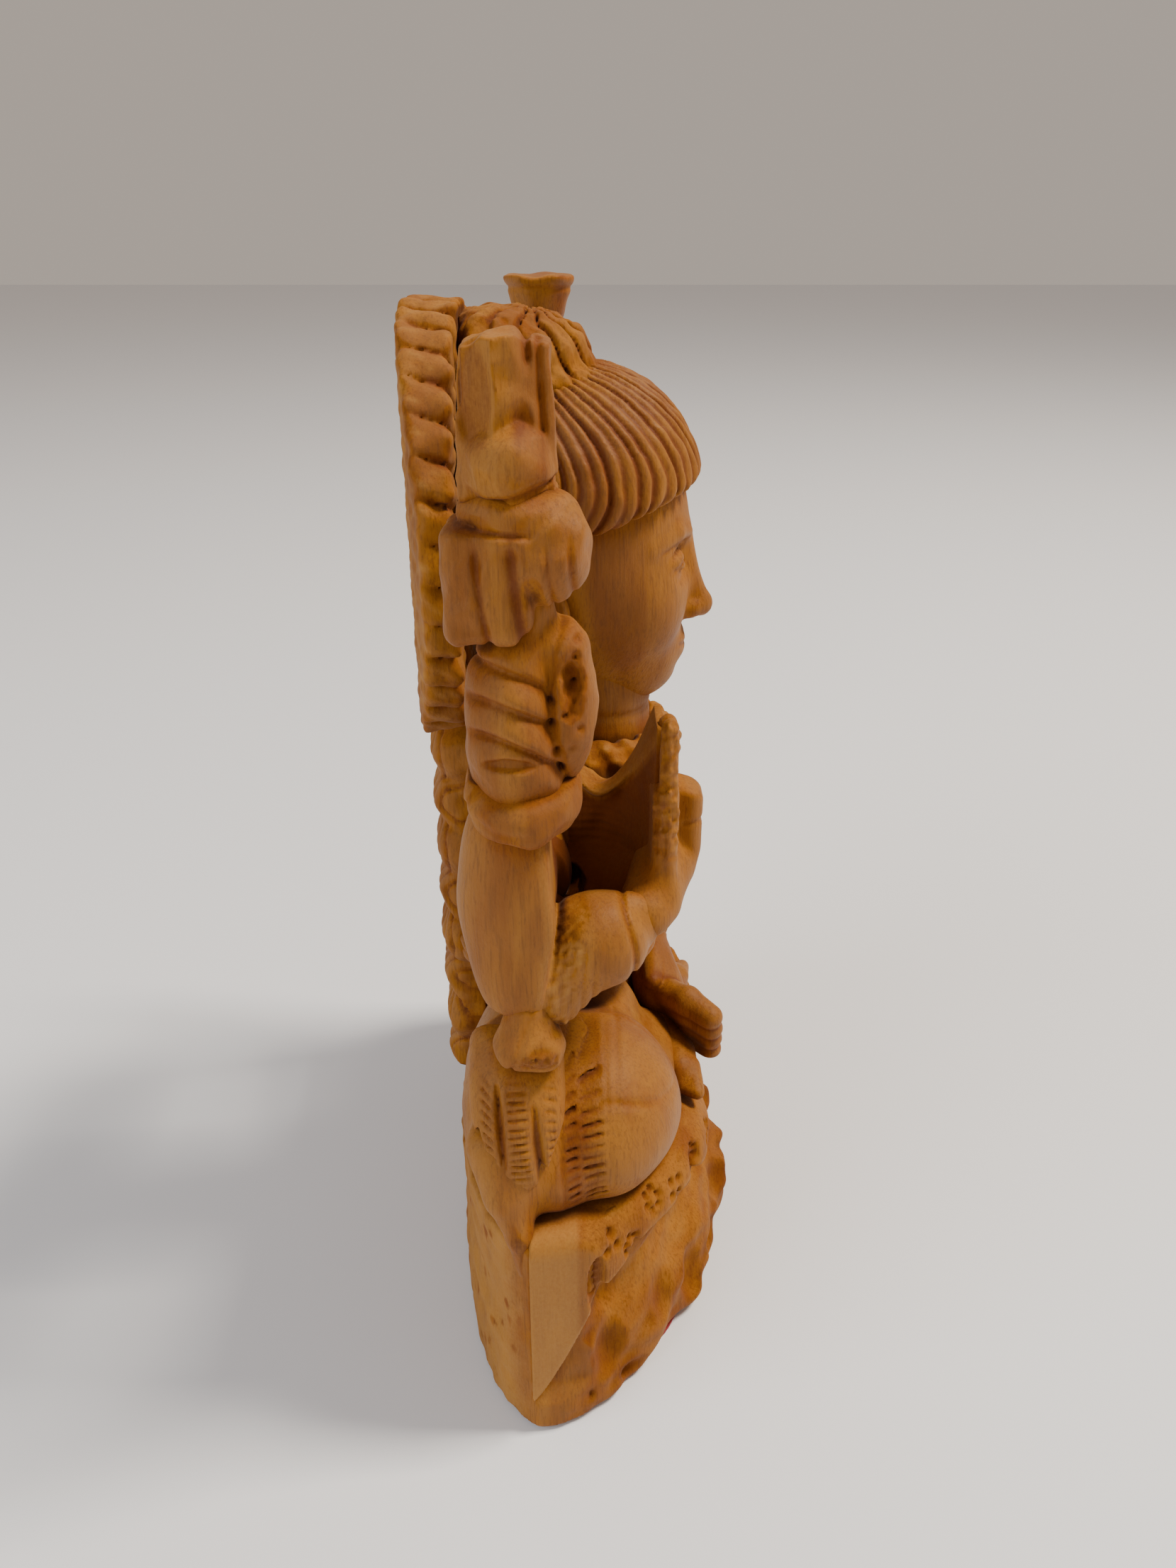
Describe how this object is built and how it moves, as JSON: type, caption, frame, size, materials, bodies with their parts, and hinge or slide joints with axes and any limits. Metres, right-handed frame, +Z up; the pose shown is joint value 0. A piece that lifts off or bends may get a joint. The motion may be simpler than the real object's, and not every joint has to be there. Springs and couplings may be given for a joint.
{
  "type": "seated deity statue",
  "caption": "Carved wooden statuette of a seated many-armed deity in front of a ribbed halo, on a rocky mound base with felt underneath.",
  "frame": {"origin": "middle of the footprint, on the table surface", "axes": "+Z up, the figure faces -Y, and its own right side is towards -X"},
  "size_m": [0.073, 0.035, 0.11],
  "materials": {
    "carved_wood": "hand carved close-grained light brown wood, satin where it is smoothed and rough in the cuts",
    "felt": "thin red felt glued under the base"
  },
  "bodies": {
    "root": {"felt_pad": "felt", "rock_base": "carved_wood", "seat_skin": "carved_wood", "right_leg": "carved_wood", "left_leg": "carved_wood", "right_foot": "carved_wood", "left_foot": "carved_wood", "waist_band": "carved_wood", "right_sash_knot": "carved_wood", "left_sash_knot": "carved_wood", "right_sash_fan": "carved_wood", "left_sash_fan": "carved_wood", "torso": "carved_wood", "neck": "carved_wood", "necklace": "carved_wood", "head": "carved_wood", "right_ear": "carved_wood", "left_ear": "carved_wood", "hair_cap": "carved_wood", "topknot": "carved_wood", "halo": "carved_wood", "back_hair": "carved_wood", "right_upper_arm": "carved_wood", "right_forearm": "carved_wood", "right_hand": "carved_wood", "hand_web": "carved_wood", "left_upper_arm": "carved_wood", "left_forearm": "carved_wood", "left_hand": "carved_wood", "right_cuff": "carved_wood", "right_sleeve": "carved_wood", "right_rear_hand": "carved_wood", "trident_head": "carved_wood", "left_cuff": "carved_wood", "left_sleeve": "carved_wood", "left_rear_hand": "carved_wood", "hourglass_drum": "carved_wood"}
  },
  "joints": []
}
